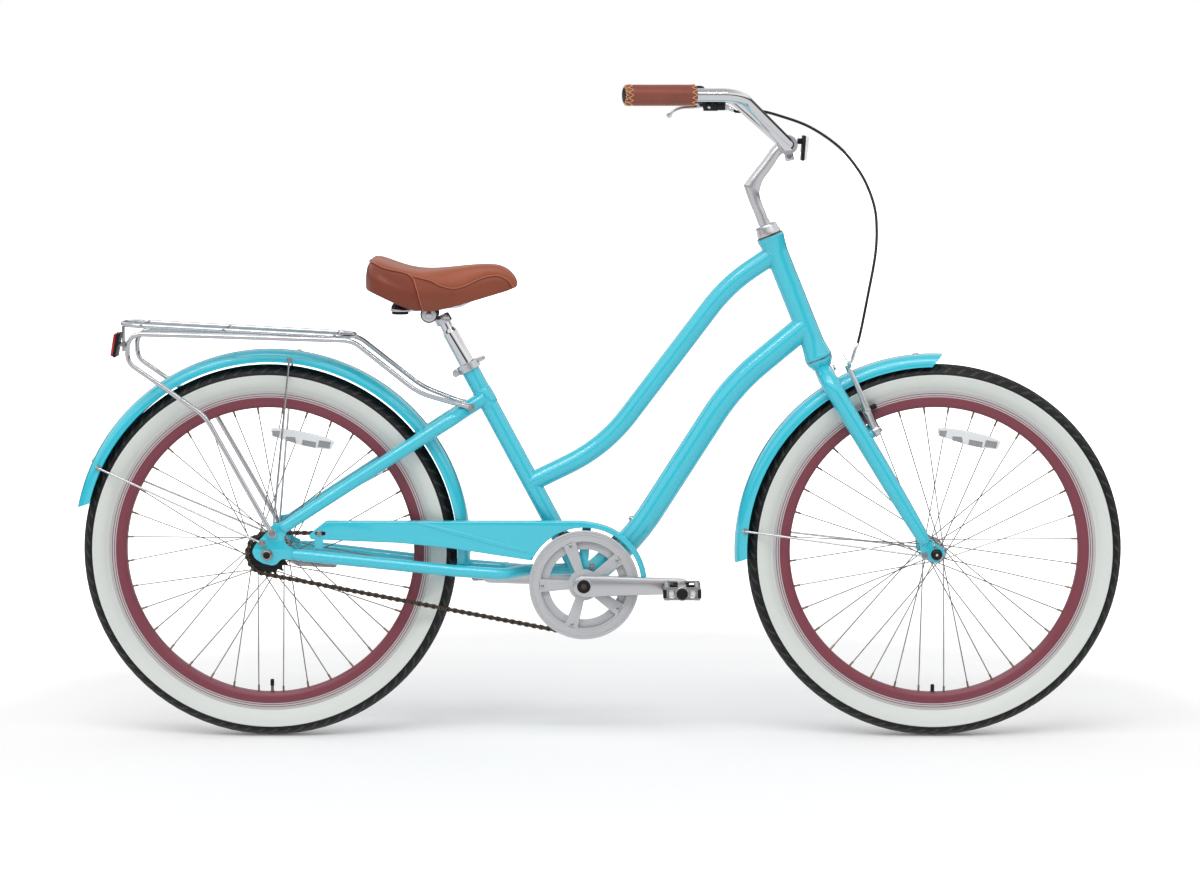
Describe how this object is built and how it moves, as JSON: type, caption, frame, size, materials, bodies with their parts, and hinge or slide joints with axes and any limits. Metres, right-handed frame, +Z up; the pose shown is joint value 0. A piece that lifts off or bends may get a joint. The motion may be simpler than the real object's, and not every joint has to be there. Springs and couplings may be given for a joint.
{
  "type": "step-through bicycle",
  "caption": "Step-through hybrid bicycle with fenders, rear rack, chain guard, single sprocket, rim brake, swept handlebar and sprung saddle.",
  "frame": {"origin": "on the ground, midway between the rear fender's tail and the front of the front tyre, in the wheel plane", "axes": "+X forward, +Y to the rider's left, +Z up; the chain is on the right, at -Y"},
  "size_m": [1.8362, 0.6034, 1.1435],
  "materials": {
    "paint": "gloss enamel",
    "rim_paint": "satin maroon with a bare brake track",
    "rubber": "matt with a cream sidewall",
    "leather": "smooth with stitched seams",
    "chrome": "polished",
    "alloy": "polished",
    "steel": "plain",
    "dark_steel": "oiled brown-black",
    "black_plastic": "matt",
    "clear_plastic": "clear prismatic",
    "red_plastic": "prismatic"
  },
  "bodies": {
    "frame": {"head_tube": "paint", "top_tube": "paint", "down_tube": "paint", "seat_tube": "paint", "bottom_bracket_shell": "paint", "chainstay_yoke": "paint", "chainstay_right": "paint", "chainstay_left": "paint", "seatstays": "paint", "dropout_right": "paint", "dropout_left": "paint", "seat_clamp": "alloy", "headset_upper_cup": "steel", "headset_lower_cup": "steel", "rear_axle": "steel", "coaster_brake_arm": "steel", "rear_fender": "paint", "rear_fender_stay_right": "chrome", "rear_fender_stay_left": "chrome", "rear_fender_brace_right": "chrome", "rear_fender_brace_left": "chrome", "rear_rack": "chrome", "rear_reflector": "red_plastic", "chain_guard": "paint", "chain": "dark_steel"},
    "steering": {"fork": "paint", "stem": "alloy", "handlebar": "chrome", "grip_right": "leather", "grip_left": "leather", "front_reflector": "clear_plastic", "brake_lever_bracket": "black_plastic", "brake_cable": "black_plastic", "front_fender": "paint", "front_fender_stay_right": "chrome", "front_fender_stay_left": "chrome", "front_axle": "steel", "headset_nut": "alloy"},
    "brake_lever": {"brake_lever": "alloy"},
    "brake_arm_right": {"brake_arm_right": "alloy"},
    "brake_arm_left": {"brake_arm_left": "alloy"},
    "front_wheel": {"front_tyre": "rubber", "front_rim": "rim_paint", "front_hub": "alloy"},
    "rear_wheel": {"rear_tyre": "rubber", "rear_rim": "rim_paint", "rear_hub": "alloy"},
    "driver": {"rear_sprocket": "dark_steel"},
    "cranks": {"crank_axle": "steel", "crank_right": "alloy", "crank_left": "alloy", "chainring": "alloy", "chainring_guard": "alloy"},
    "pedal_right": {"pedal_right": "black_plastic"},
    "pedal_left": {"pedal_left": "black_plastic"},
    "saddle_post": {"seatpost": "chrome", "saddle_clamp": "alloy", "saddle_rails": "steel", "saddle_base": "black_plastic", "saddle_cover": "leather"}
  },
  "joints": [
    {"name": "steering_turn", "type": "hinge", "parent": "frame", "child": "steering", "pos_m": [0.38503, 0, 0.66773], "axis": [-0.3746, 0, 0.9272], "range_deg": [-80, 80]},
    {"name": "front_wheel_spin", "type": "hinge", "parent": "steering", "child": "front_wheel", "pos_m": [0.58908, 0, 0.329], "axis": [0, 1, 0], "continuous": true},
    {"name": "rear_wheel_spin", "type": "hinge", "parent": "frame", "child": "rear_wheel", "pos_m": [-0.57892, 0, 0.329], "axis": [0, 1, 0], "continuous": true},
    {"name": "crank_spin", "type": "hinge", "parent": "frame", "child": "cranks", "pos_m": [-0.02592, 0, 0.2745], "axis": [0, 1, 0], "continuous": true},
    {"name": "driver_spin", "type": "hinge", "parent": "frame", "child": "driver", "pos_m": [-0.57892, 0, 0.329], "axis": [0, 1, 0], "continuous": true},
    {"name": "pedal_right_spin", "type": "hinge", "parent": "cranks", "child": "pedal_right", "pos_m": [0.14408, -0.072, 0.2745], "axis": [0, 1, 0], "continuous": true},
    {"name": "pedal_left_spin", "type": "hinge", "parent": "cranks", "child": "pedal_left", "pos_m": [-0.19592, 0.072, 0.2745], "axis": [0, 1, 0], "continuous": true},
    {"name": "brake_lever_pull", "type": "hinge", "parent": "steering", "child": "brake_lever", "pos_m": [0.19967, 0.26028, 1.10822], "axis": [0.1983, 0.7399, 0.6428], "range_deg": [0, 8], "stiffness_Nm_per_rad": 2, "springref_deg": -11.46},
    {"name": "brake_arm_right_close", "type": "hinge", "parent": "steering", "child": "brake_arm_right", "pos_m": [0.48397, -0.04, 0.54374], "axis": [0.8572, 0, 0.515], "range_deg": [-3.1, 0]},
    {"name": "brake_arm_left_close", "type": "hinge", "parent": "steering", "child": "brake_arm_left", "pos_m": [0.48397, 0.04, 0.54374], "axis": [0.8572, 0, 0.515], "range_deg": [0, 3.1]},
    {"name": "seatpost_slide", "type": "slide", "parent": "frame", "child": "saddle_post", "axis": [-0.471, 0, 0.8821], "range_m": [-0.06, 0.08]}
  ],
  "couplings": [
    {"joint": "driver_spin", "follows": "crank_spin", "ratio": 2.4444},
    {"joint": "brake_arm_right_close", "follows": "brake_lever_pull", "ratio": -0.375},
    {"joint": "brake_arm_left_close", "follows": "brake_lever_pull", "ratio": 0.375}
  ]
}
